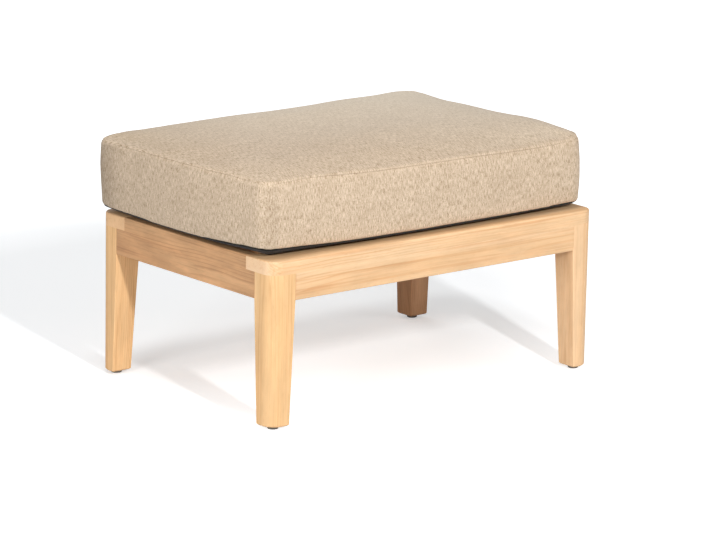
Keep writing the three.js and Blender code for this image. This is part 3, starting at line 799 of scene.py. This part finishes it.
@dataclass
class BoxCushion:
    """The loose box cushion: its form, its swelling and its seams. Sizes are in metres."""

    length: float = 703 * MM
    width: float = 458 * MM
    corner: float = 33 * MM
    front_corner: float = 24 * MM
    bow: float = 7 * MM
    bulge: float = 6 * MM
    base_low: float = 281.3 * MM
    base_seam: float = 289 * MM
    top_seam: float = 402 * MM
    base_lift: float = 2 * MM
    top_lift: float = 1.5 * MM
    crown: float = 10 * MM
    crown_power: float = 3.0
    roll: float = 12.5 * MM
    roll_reach: float = 14 * MM
    lift_reach: float = 60 * MM
    lean: float = 3.2 * MM
    lean_start: float = 0.3
    base_inset: float = 34 * MM
    base_power: float = 1.4
    band_share: float = 0.36
    back_bulge: float = 4 * MM
    zip_half_length: float = 260.3 * MM
    zip_half_height: float = 13.3 * MM
    zip_middle: float = 345.5 * MM
    zip_spare: float = 9 * MM
    zip_pocket: float = 3.4 * MM
    back_depth: float = 12 * MM
    outline_steps: int = 360
    plan_step: int = 12
    top_insets: tuple[float, ...] = (0.0, 4 * MM, 10 * MM, 20 * MM, 34 * MM)
    voxel: float = 5.5 * MM
    slack: float = 0.9
    pressure: float = 4.0
    stiffness: float = 12.0
    bending: float = 0.6
    frames: int = 20
    cap: float = 24 * MM
    held_reach: float = 5 * MM
    held_base: float = 0.6 * MM
    seam_reach: float = 40 * MM
    top_groove: float = 1.0 * MM
    base_groove: float = 0.9 * MM
    groove_reach: float = 3 * MM
    top_hollow: float = 1.3 * MM
    band_hollow: float = 0.9 * MM
    hollow_ease: float = 18 * MM
    hollow_waves: Triple = (9.0, 9.0, 12.0)
    band_waves: float = 1.4
    pucker: float = 0.35 * MM
    pucker_reach: float = 16 * MM
    pucker_waves: Triple = (62.0, 62.0, 14.0)
    crease: float = 1.2 * MM
    crease_way: Triple = (-0.6, -0.8, 0.0)
    crease_turn: float = 0.012
    shade_edge: float = 6 * MM
    side_start: float = 3.0
    lifts: tuple[Uneven, ...] = (
        Uneven(-0.33, -0.21, 0.135, 7.2 * MM, 3.5 * MM),
        Uneven(-0.345, -0.225, 0.065, -5.6 * MM, 2.2 * MM, (4.5 * MM, -5.5 * MM)),
        Uneven(-0.35, 0.02, 0.15, 5.2 * MM, 1.0 * MM),
        Uneven(-0.34, 0.22, 0.06, -1.5 * MM),
        Uneven(0.27, -0.23, 0.13, -5.5 * MM),
        Uneven(-0.1, 0.23, 0.17, 5.5 * MM),
        Uneven(0.17, 0.23, 0.13, 7.0 * MM),
        Uneven(0.37, -0.125, 0.115, 9.3 * MM),
        Uneven(0.34, 0.22, 0.08, 5.4 * MM),
        Uneven(0.36, 0.03, 0.08, 2.4 * MM),
    )
    # Painted shade at the near corner and the back-left corner of the boxing.
    painted_corner_shades: tuple[PaintedCornerShade, ...] = (
        PaintedCornerShade(-334.5 * MM, -231.5 * MM, 12.5 * MM, 0.17),
        PaintedCornerShade(-350 * MM, 222 * MM, 62 * MM, 0.26),
    )
    centre: Vector = field(default_factory=Vector)
    outline: list[PlanPoint] = field(default_factory=list)
    tree: kdtree.KDTree | None = None
    cover: Piece | None = None

    def build(self) -> None:
        """Builds the cover as one stuffed form and marks its seams on it."""
        low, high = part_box("zip_tape")
        back = high.y + TAPE_DEPTH - self.back_bulge * math.sin(math.pi * self.band_share)
        self.centre = Vector(((low.x + high.x) / 2, back - self.width / 2, 0))
        self.outline = self._outline()
        self.tree = kdtree.KDTree(len(self.outline))
        for index, (point, _, _) in enumerate(self.outline):
            self.tree.insert(point, index)
        self.tree.balance()
        self.cover = add_piece("cushion_cover", self._form(), "cushion")
        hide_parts("cover_top_panel", "cover_boxing", "cover_base_panel", "foam_core")
        self._apply(self.cover.modifiers.new("even", "REMESH"), mode="VOXEL", voxel_size=self.voxel)
        self._inflate()
        self._apply(self.cover.modifiers.new("fine", "SUBSURF"), levels=1, render_levels=1)
        self._settle()
        self._mark()
        self._lean()
        LOG.info("cushion cover: %d faces", len(self.cover.data.polygons))

    def dress(self) -> None:
        """Gives the cover its weave and its base its dark cloth."""
        dress(self.cover, WeaveFinish().material())
        self.cover.data.materials.append(BaseClothFinish().material())

    def _outline(self) -> list[PlanPoint]:
        """Works out the seams' plan.

        Returns:
            The plan's points.
        """
        half_x, half_y = self.length / 2, self.width / 2
        back, front = self.corner, self.front_corner
        points: list[PlanPoint] = []
        sides = (
            ((half_x, back - half_y), (half_x, half_y - back), (1, 0), self.bow, back),
            ((half_x - back, half_y), (back - half_x, half_y), (0, 1), 0.0, back),
            ((-half_x, half_y - back), (-half_x, front - half_y), (-1, 0), self.bow, front),
            ((front - half_x, -half_y), (half_x - back, -half_y), (0, -1), self.bow, back),
        )
        corner_steps = self.outline_steps // 4
        for first, last, way, bow, radius in sides:
            start, stop, out = Vector((*first, 0)), Vector((*last, 0)), Vector((*way, 0))
            for step in range(self.outline_steps):
                share = step / self.outline_steps
                swell = math.sin(math.pi * share)
                points.append((self.centre + start.lerp(stop, share) + out * bow * swell, out, 1 - swell))
            pivot = stop - out * radius
            for step in range(corner_steps):
                turn = Matrix.Rotation(math.pi / 2 * step / corner_steps, 3, "Z") @ out
                points.append((self.centre + pivot + turn * radius, turn, 1.0))
        return [(point + self._slide(point), out, corner) for point, out, corner in points]

    def _slide(self, point: Vector) -> Vector:
        """Finds how far the stuffing shifts a point of the seams' plan sideways."""
        shifts = (Vector((*lift.slide, 0)) * lift.share(point - self.centre) for lift in self.lifts)
        return sum(shifts, Vector())

    def _plan_point(self, place: Vector) -> PlanPoint:
        """Finds the point of the seams' plan that is nearest to a place."""
        _, index, _ = self.tree.find(Vector((place.x, place.y, 0)))
        return self.outline[index]

    def _seam_heights(self, point: Vector, corner: float) -> Pair:
        """Gives the two seams' heights.

        Args:
            point: The point on the seams' plan.
            corner: How much of a corner the point is.

        Returns:
            The base seam's and the top seam's height.
        """
        low = self.base_seam + self.base_lift * corner
        high = self.top_seam + self.top_lift * corner
        for lift in self.lifts:
            share = lift.share(point - self.centre)
            low += lift.base * share
            high += lift.top * share
        return low, high

    def _nearest(self, place: Vector) -> Triple:
        """Tells how far inside the plan a place is, and how high the base and top seams are there."""
        point, out, corner = self._plan_point(place)
        return (point - Vector((place.x, place.y, 0))).dot(out), *self._seam_heights(point, corner)

    def _sides(self, place: Vector) -> Pair:
        """Measures a place against the two seams.

        Args:
            place: The place.

        Returns:
            How far past the top seam onto the top, and past the base seam onto the base.
        """
        inside, low, high = self._nearest(place)
        inside = min(inside, self.seam_reach)
        return place.z - high + inside, low - place.z + inside

    def _top_height(self, place: Vector) -> float:
        """Gives the slack top panel's height.

        Args:
            place: The place.

        Returns:
            The height.
        """
        inside, _, high = self._nearest(place)
        inside = max(0.0, inside)
        across = min(1.0, abs(place.x - self.centre.x) / (self.length / 2))
        deep = min(1.0, abs(place.y - self.centre.y) / (self.width / 2))
        crown = self.crown * (1 - across**self.crown_power) * (1 - deep**self.crown_power)
        rise = crown + self.roll * (1 - math.exp(-inside / self.roll_reach))
        pull = math.exp(-inside / self.lift_reach)
        return self.top_seam + (high - self.top_seam) * pull + self.slack * rise

    def _form(self) -> Shape:
        """Builds the form that goes under pressure, a little slacker than the finished one.

        Returns:
            The form.
        """
        sections: list[tuple[float, Callable[[Vector, float, float], float]]] = []
        for inset in (0.9 * self.base_inset, 0.45 * self.base_inset, 0.0):
            rise = (1 - inset / self.base_inset) ** self.base_power
            sections.append((inset, lambda _, low, high, s=rise: self.base_low + (low - self.base_low) * s))
        for share in (0.16, self.band_share, 0.64, 0.84):
            inset = -0.5 * self.bulge * math.sin(math.pi * share)
            sections.append((inset, lambda _, low, high, s=share: low + (high - low) * s))
        for inset in self.top_insets:
            sections.append((inset, lambda place, low, high: self._top_height(place)))

        shape = bmesh.new()
        loops = []
        for inset, height in sections:
            places = []
            for point, out, corner in self.outline[::self.plan_step]:
                place = point - out * inset
                places.append((place.x, place.y, height(place, *self._seam_heights(point, corner))))
            loops.append(add_ring(shape, places))
        for low, high in zip(loops, loops[1:]):
            bmesh.ops.bridge_loops(shape, edges=low + high)
        self._close(shape, loops[0], crowned=False)
        self._close(shape, loops[-1], crowned=True)
        bmesh.ops.recalc_face_normals(shape, faces=shape.faces)
        return shape

    def _close(self, shape: Shape, ring: list[Edge], crowned: bool) -> None:
        """Closes a ring with smaller rings and a flat face.

        Args:
            shape: The bmesh.
            ring: The ring's edges.
            crowned: Whether it is the crowned top and not the flat base.
        """
        starts = [edge.verts[0].co.copy() for edge in ring]
        for share in (0.8, 0.6, 0.4, 0.2):
            places = []
            for start in starts:
                place = self.centre + (start - self.centre) * share
                places.append((place.x, place.y, self._top_height(place) if crowned else self.base_low))
            smaller = add_ring(shape, places)
            bmesh.ops.bridge_loops(shape, edges=ring + smaller)
            ring = smaller
        bmesh.ops.contextual_create(shape, geom=ring)

    def _apply(self, modifier: bpy.types.Modifier, **values: object) -> None:
        """Sets a modifier of the cover and applies it.

        Args:
            modifier: The modifier.
            **values: Its settings by name.
        """
        set_all(modifier, **values)
        with bpy.context.temp_override(object=self.cover, active_object=self.cover):
            bpy.ops.object.modifier_apply(modifier=modifier.name)

    def _near_zip(self, place: Vector, spare: float) -> bool:
        """Tells whether a place is on the back near the zip.

        Args:
            place: The place.
            spare: How far past the zip's slot to reach.

        Returns:
            True near the zip.
        """
        if place.y < self.centre.y + self.width / 2 - self.back_depth:
            return False
        wide = abs(place.x - self.centre.x) < self.zip_half_length + spare
        return wide and abs(place.z - self.zip_middle) < self.zip_half_height + spare

    def _inflate(self) -> None:
        """Puts the form under pressure with its seams, its resting face and the zip's place held."""
        before = [vertex.co.copy() for vertex in self.cover.data.vertices]
        held = self.cover.vertex_groups.new(name="held")
        for index, place in enumerate(before):
            near_seam = min(abs(side) for side in self._sides(place)) < self.held_reach
            rests = place.z < self.base_low + self.held_base
            if near_seam or rests or self._near_zip(place, self.zip_spare):
                held.add([index], 1.0, "REPLACE")
        cloth = self.cover.modifiers.new("stuffing", "CLOTH")
        set_all(cloth.settings, vertex_group_mass="held", use_pressure=True, quality=5,
                uniform_pressure_force=self.pressure, tension_stiffness=self.stiffness,
                compression_stiffness=self.stiffness, bending_stiffness=self.bending)
        cloth.settings.effector_weights.gravity = 0
        scene = bpy.context.scene
        for step in range(1, self.frames + 1):
            scene.frame_set(step)
        self._apply(cloth)
        scene.frame_set(1)
        moved = 0.0
        for vertex, start in zip(self.cover.data.vertices, before):
            way = vertex.co - start
            moved = max(moved, way.length)
            if way.length > self.cap:
                vertex.co = start + way * (self.cap / way.length)
        self.cover.vertex_groups.clear()
        LOG.info("stuffing moved the cover by up to %.1f mm", moved / MM)

    def _settle(self) -> None:
        """Adds the seams' grooves, small hollows, puckers, and the pocket for the zip."""
        vertices = self.cover.data.vertices
        normals = [vertex.normal.copy() for vertex in vertices]
        for vertex, normal in zip(vertices, normals):
            place = vertex.co
            top, base = self._sides(place)
            edge = min(abs(top), abs(base))
            groove = self.top_groove * math.exp(-((top / self.groove_reach) ** 2))
            groove += self.base_groove * math.exp(-((base / self.groove_reach) ** 2))
            if base < 0 and top < 0:
                groove += self._crease_depth(place)
            soft = pucker = 0.0
            if base <= 2 * MM and not self._near_zip(place, self.zip_spare):
                spot = place * Vector(self.hollow_waves)
                if top > 0:
                    soft = self.top_hollow * noise.noise(spot)
                else:
                    soft = self.band_hollow * noise.noise(spot * self.band_waves)
                soft *= min(1.0, edge / self.hollow_ease)
                pucker = self.pucker * noise.noise(place * Vector(self.pucker_waves))
                pucker *= math.exp(-edge / self.pucker_reach)
            vertex.co = place + normal * (soft + pucker - groove)
            if self._near_zip(place, -0.5 * MM):
                vertex.co.y -= self.zip_pocket
            vertex.co.z = max(vertex.co.z, self.base_low)

    def _crease_depth(self, place: Vector) -> float:
        """Finds the depth of the upright crease at the near corner.

        Args:
            place: The place on the boxing.

        Returns:
            The crease's depth.
        """
        _, out, corner = self._plan_point(place)
        turn = 1 - out.dot(Vector(self.crease_way))
        low, high = self._seam_heights(place, corner)
        share = max(0.0, min(1.0, (place.z - low) / (high - low)))
        return self.crease * math.exp(-turn / self.crease_turn) * math.sin(math.pi * share) ** 2

    def _mark(self) -> None:
        """Stores the seams' distances, the painted seam and corner shade, and the cloth's own coordinates on
        the mesh.
        """
        data = self.cover.data
        rows = []
        for vertex in data.vertices:
            top, base = self._sides(vertex.co)
            corner = self._plan_point(vertex.co)[2]
            edge = max(0.0, min(1.0, -top / self.shade_edge))
            shade = sum(dark.depth * dark.share(vertex.co - self.centre, 4) for dark in self.painted_corner_shades)
            # The third column weakens the painted seam shade at the corners; the fourth is the painted corner
            # shade, which fades out toward the top seam.
            rows.append((top, base, 1 - 0.85 * corner**3, shade * edge))
        for name, column in zip(("top_seam", "base_seam", "seam_shade_weight", "corner_shade"), zip(*rows)):
            data.attributes.new(name, "FLOAT", "POINT").data.foreach_set("value", column)
        weave = data.uv_layers.new(name="weave")
        for face in data.polygons:
            face.use_smooth = True
            top, base = (sum(rows[i][column] for i in face.vertices) for column in (0, 1))
            face.material_index = int(all(rows[i][1] > 0.2 * MM for i in face.vertices))
            side = abs(face.normal.x) > abs(face.normal.y)
            for loop in face.loop_indices:
                place = data.vertices[data.loops[loop].vertex_index].co
                if top > 0 or base > 0:
                    weave.data[loop].uv = (place.x, place.y)
                else:
                    weave.data[loop].uv = (place.y + self.side_start if side else place.x, place.z)

    def _lean(self) -> None:
        """Leans the upper part of the cover a little to the left, clear of the zip."""
        start = self.base_seam + self.lean_start * (self.top_seam - self.base_seam)
        for vertex in self.cover.data.vertices:
            if not self._near_zip(vertex.co, self.zip_spare):
                rise = (vertex.co.z - start) / (self.top_seam - start)
                vertex.co.x -= self.lean * max(0.0, min(1.0, rise))


@dataclass
class CushionZip:
    """The zip in the cover's back: coil teeth, hems beside the slot, slider and pull."""

    shading: RoundShading
    hem_width: float = 6.5 * MM
    hem_height: float = 1.5 * MM
    hem_inset: float = 1.6 * MM
    hem_round: float = 0.6 * MM
    slot_margin: float = 3 * MM
    tooth_pitch: float = 1.5 * MM
    tooth_size: Triple = (1.0 * MM, 1.7 * MM, 3.1 * MM)
    tooth_offset: float = 0.9 * MM
    tooth_round: float = 0.28 * MM
    stop_length: float = 6 * MM
    hems: Piece | None = None
    teeth: Piece | None = None

    def build(self) -> None:
        """Builds the hems and the coil's teeth."""
        self.hems = add_piece("zip_hems", self._hem_shape(), "cushion")
        self.teeth = add_piece("zip_teeth", self._tooth_shape(), "cushion")
        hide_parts("zip_coil")
        for piece in (self.hems, self.teeth):
            for face in piece.data.polygons:
                face.use_smooth = True
            LOG.info("%s: %d faces", piece.name, len(piece.data.polygons))

    def dress(self) -> None:
        """Gives the hems, tape, teeth, slider and pull their finishes."""
        tape = ClothStripFinish("zip_tape_cloth", (190, 168, 140), (160, 138, 110))
        dress(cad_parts["zip_tape"], tape.material())
        hems = ClothStripFinish("zip_hem_cloth", (222, 202, 176), (188, 164, 136), 1.4 * MM)
        dress(self.hems, hems.material())
        teeth = MouldedFinish("zip_teeth_nylon", (172, 150, 122), (190, 168, 140), 0.4)
        dress(self.teeth, teeth.material())
        metal = MetalFinish("zip_metal").material()
        for name in ("zip_slider", "zip_pull"):
            self.shading.dress(name, metal)

    def _hem_shape(self) -> Shape:
        """Builds the folded hems round the slot as four rounded strips.

        Returns:
            The hems.
        """
        low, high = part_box("zip_tape")
        shape = bmesh.new()
        middle = (low + high) / 2
        middle.y = high.y + TAPE_DEPTH
        inner_x = (high.x - low.x) / 2 - self.hem_inset
        inner_z = (high.z - low.z) / 2 - self.hem_inset - self.slot_margin
        between = self.hem_width / 2
        for sign in (-1, 1):
            for way, size in (
                ((0, 0, sign * (inner_z + between)), (2 * (inner_x + self.hem_width), self.hem_width)),
                ((sign * (inner_x + between), 0, 0), (self.hem_width, 2 * inner_z)),
            ):
                corners = add_block(shape, middle + Vector(way), Vector((size[0], self.hem_height, size[1])))
                edges = (edge for corner in corners for edge in corner.link_edges)
                soften(shape, edges, self.hem_round, 2)
        return shape

    def _tooth_shape(self) -> Shape:
        """Builds two rows of interlocked teeth and the stops at their ends.

        Returns:
            The teeth.
        """
        low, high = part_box("zip_coil")
        shape = bmesh.new()
        middle = (low + high) / 2
        count = int((high.x - low.x - 2 * self.stop_length) / self.tooth_pitch)
        start = middle.x - count * self.tooth_pitch / 2
        for index in range(count + 1):
            side = 1 if index % 2 else -1
            place = Vector((start + index * self.tooth_pitch, low.y + self.tooth_size[1] / 2,
                            middle.z + side * self.tooth_offset))
            corners = add_block(shape, place, Vector(self.tooth_size))
            outer = [corner for corner in corners if corner.co.y > place.y]
            edges = (edge for corner in outer for edge in corner.link_edges)
            soften(shape, (edge for edge in edges if set(edge.verts) <= set(outer)), self.tooth_round, 1)
        for sign in (-1, 1):
            shift = sign * ((high.x - low.x) / 2 - self.stop_length / 2)
            size = Vector((self.stop_length, high.y - low.y, high.z - low.z))
            add_block(shape, middle + Vector((shift, 0, 0)), size)
        return shape


@dataclass(frozen=True)
class Lamp:
    """An area lamp: its place, its width and height in metres, and its power in watts."""

    name: str
    place: Triple
    size: Pair
    power: float
    target: Triple = (0.0, 0.0, 0.2)

    def build(self) -> None:
        """Adds the lamp, which points at the ottoman."""
        data = bpy.data.lights.new(self.name, "AREA")
        set_all(data, shape="RECTANGLE", size=self.size[0], size_y=self.size[1], energy=self.power)
        lamp = add_object(self.name, data)
        lamp.location = self.place
        way = Vector(self.target) - Vector(self.place)
        lamp.rotation_euler = way.to_track_quat("-Z", "Y").to_euler()


@dataclass
class Studio:
    """The camera, the lamps, the world and the floor."""

    centre: Vector
    focal: float = 189.94
    sensor: float = 36.0
    yaw: float = math.radians(39.666)
    pitch: float = math.radians(13.544)
    roll: float = math.radians(1.12)
    place: Triple = (-3.98066, -4.82699, 1.68272)
    lamps: tuple[Lamp, ...] = (
        Lamp("key", (-1.26, -4.78, 2.75), (0.22, 0.5), 168.0),
        Lamp("side", (-4.6, -1.5, 1.9), (2.2, 2.2), 112.0),
        Lamp("fill", (3.0, -3.8, 1.7), (3.2, 3.2), 54.0),
        Lamp("back", (1.2, 4.6, 2.4), (3.0, 3.0), 58.0),
        Lamp("overhead", (-0.7, -0.25, 2.9), (0.5, 0.5), 19.5),
    )
    world_light: float = 0.14
    world_seen: float = 1.0
    floor_size: float = 60.0
    floor_paint: tuple[float, float, float, float] = (0.768, 0.79, 0.811, 1.0)
    glow_centre: Triple = (0.1, 0.58, 0.0)
    glow_reach: Pair = (0.58, 1.0)
    glow_level: Pair = (0.43, 0.8)

    def build_camera(self) -> None:
        """Sets the camera at the photograph's angle."""
        data = bpy.data.cameras.new("camera")
        set_all(data, lens=self.focal, sensor_width=self.sensor, sensor_fit="HORIZONTAL", clip_end=200.0)
        camera = add_object("camera", data)
        turn = Matrix.Rotation(-self.yaw, 4, "Z") @ Matrix.Rotation(math.pi / 2 - self.pitch, 4, "X")
        turn = turn @ Matrix.Rotation(self.roll, 4, "Z")
        spot = Vector(self.place) + Vector((self.centre.x, self.centre.y, 0))
        camera.matrix_world = Matrix.Translation(spot) @ turn
        bpy.context.scene.camera = camera

    def build_light(self) -> None:
        """Sets the lamps and the world, which the camera sees as white."""
        for lamp in self.lamps:
            lamp.build()
        world = bpy.data.worlds.new("studio")
        world.use_nodes = True
        tree = world.node_tree
        tree.nodes.clear()
        mix = tree.nodes.new("ShaderNodeMixShader")
        for index, level in enumerate((self.world_light, self.world_seen), start=1):
            light = tree.nodes.new("ShaderNodeBackground")
            light.inputs["Color"].default_value = WHITE
            light.inputs["Strength"].default_value = level
            tree.links.new(light.outputs[0], mix.inputs[index])
        path = tree.nodes.new("ShaderNodeLightPath")
        tree.links.new(path.outputs["Is Camera Ray"], mix.inputs[0])
        output = tree.nodes.new("ShaderNodeOutputWorld")
        tree.links.new(mix.outputs[0], output.inputs["Surface"])
        bpy.context.scene.world = world

    def build_floor(self) -> None:
        """Builds the pale floor, which the camera sees brighter than it is, more so far away."""
        shape = bmesh.new()
        bmesh.ops.create_grid(shape, x_segments=1, y_segments=1, size=self.floor_size / 2)
        floor = add_mesh("floor", shape)
        graph = Graph("floor_white")
        graph.tree.nodes.remove(graph.shader)
        paint = graph.fill(graph.node("ShaderNodeBsdfDiffuse"), self.floor_paint)
        reach = graph.node("ShaderNodeVectorMath", operation="DISTANCE")
        graph.fill(reach, graph.place(), self.glow_centre)
        level = graph.span(reach.outputs["Value"], self.glow_reach, self.glow_level)
        seen = graph.node("ShaderNodeLightPath").outputs["Is Camera Ray"]
        glow = graph.fill(graph.node("ShaderNodeEmission"), WHITE, graph.times(seen, level))
        both = graph.fill(graph.node("ShaderNodeAddShader"), paint.outputs[0], glow.outputs[0])
        graph.join(both.outputs[0], graph.output.inputs["Surface"])
        floor.data.materials.append(graph.material)


def main() -> None:
    """Builds and dresses the ottoman and its studio."""
    logging.basicConfig(level=logging.INFO, format="%(name)s: %(message)s")
    bpy.context.scene.view_settings.view_transform = "Standard"
    shading = RoundShading()
    teak = TeakFrame(shading)
    teak.build()
    studio = Studio(teak.centre)
    studio.build_camera()
    studio.build_light()
    studio.build_floor()
    teak.dress()
    FloorGlides(shading).dress()
    BattenScrews(shading).dress()
    cushion = BoxCushion()
    cushion.build()
    cushion.dress()
    fastener = CushionZip(shading)
    fastener.build()
    fastener.dress()


if __name__ == "__main__":
    main()
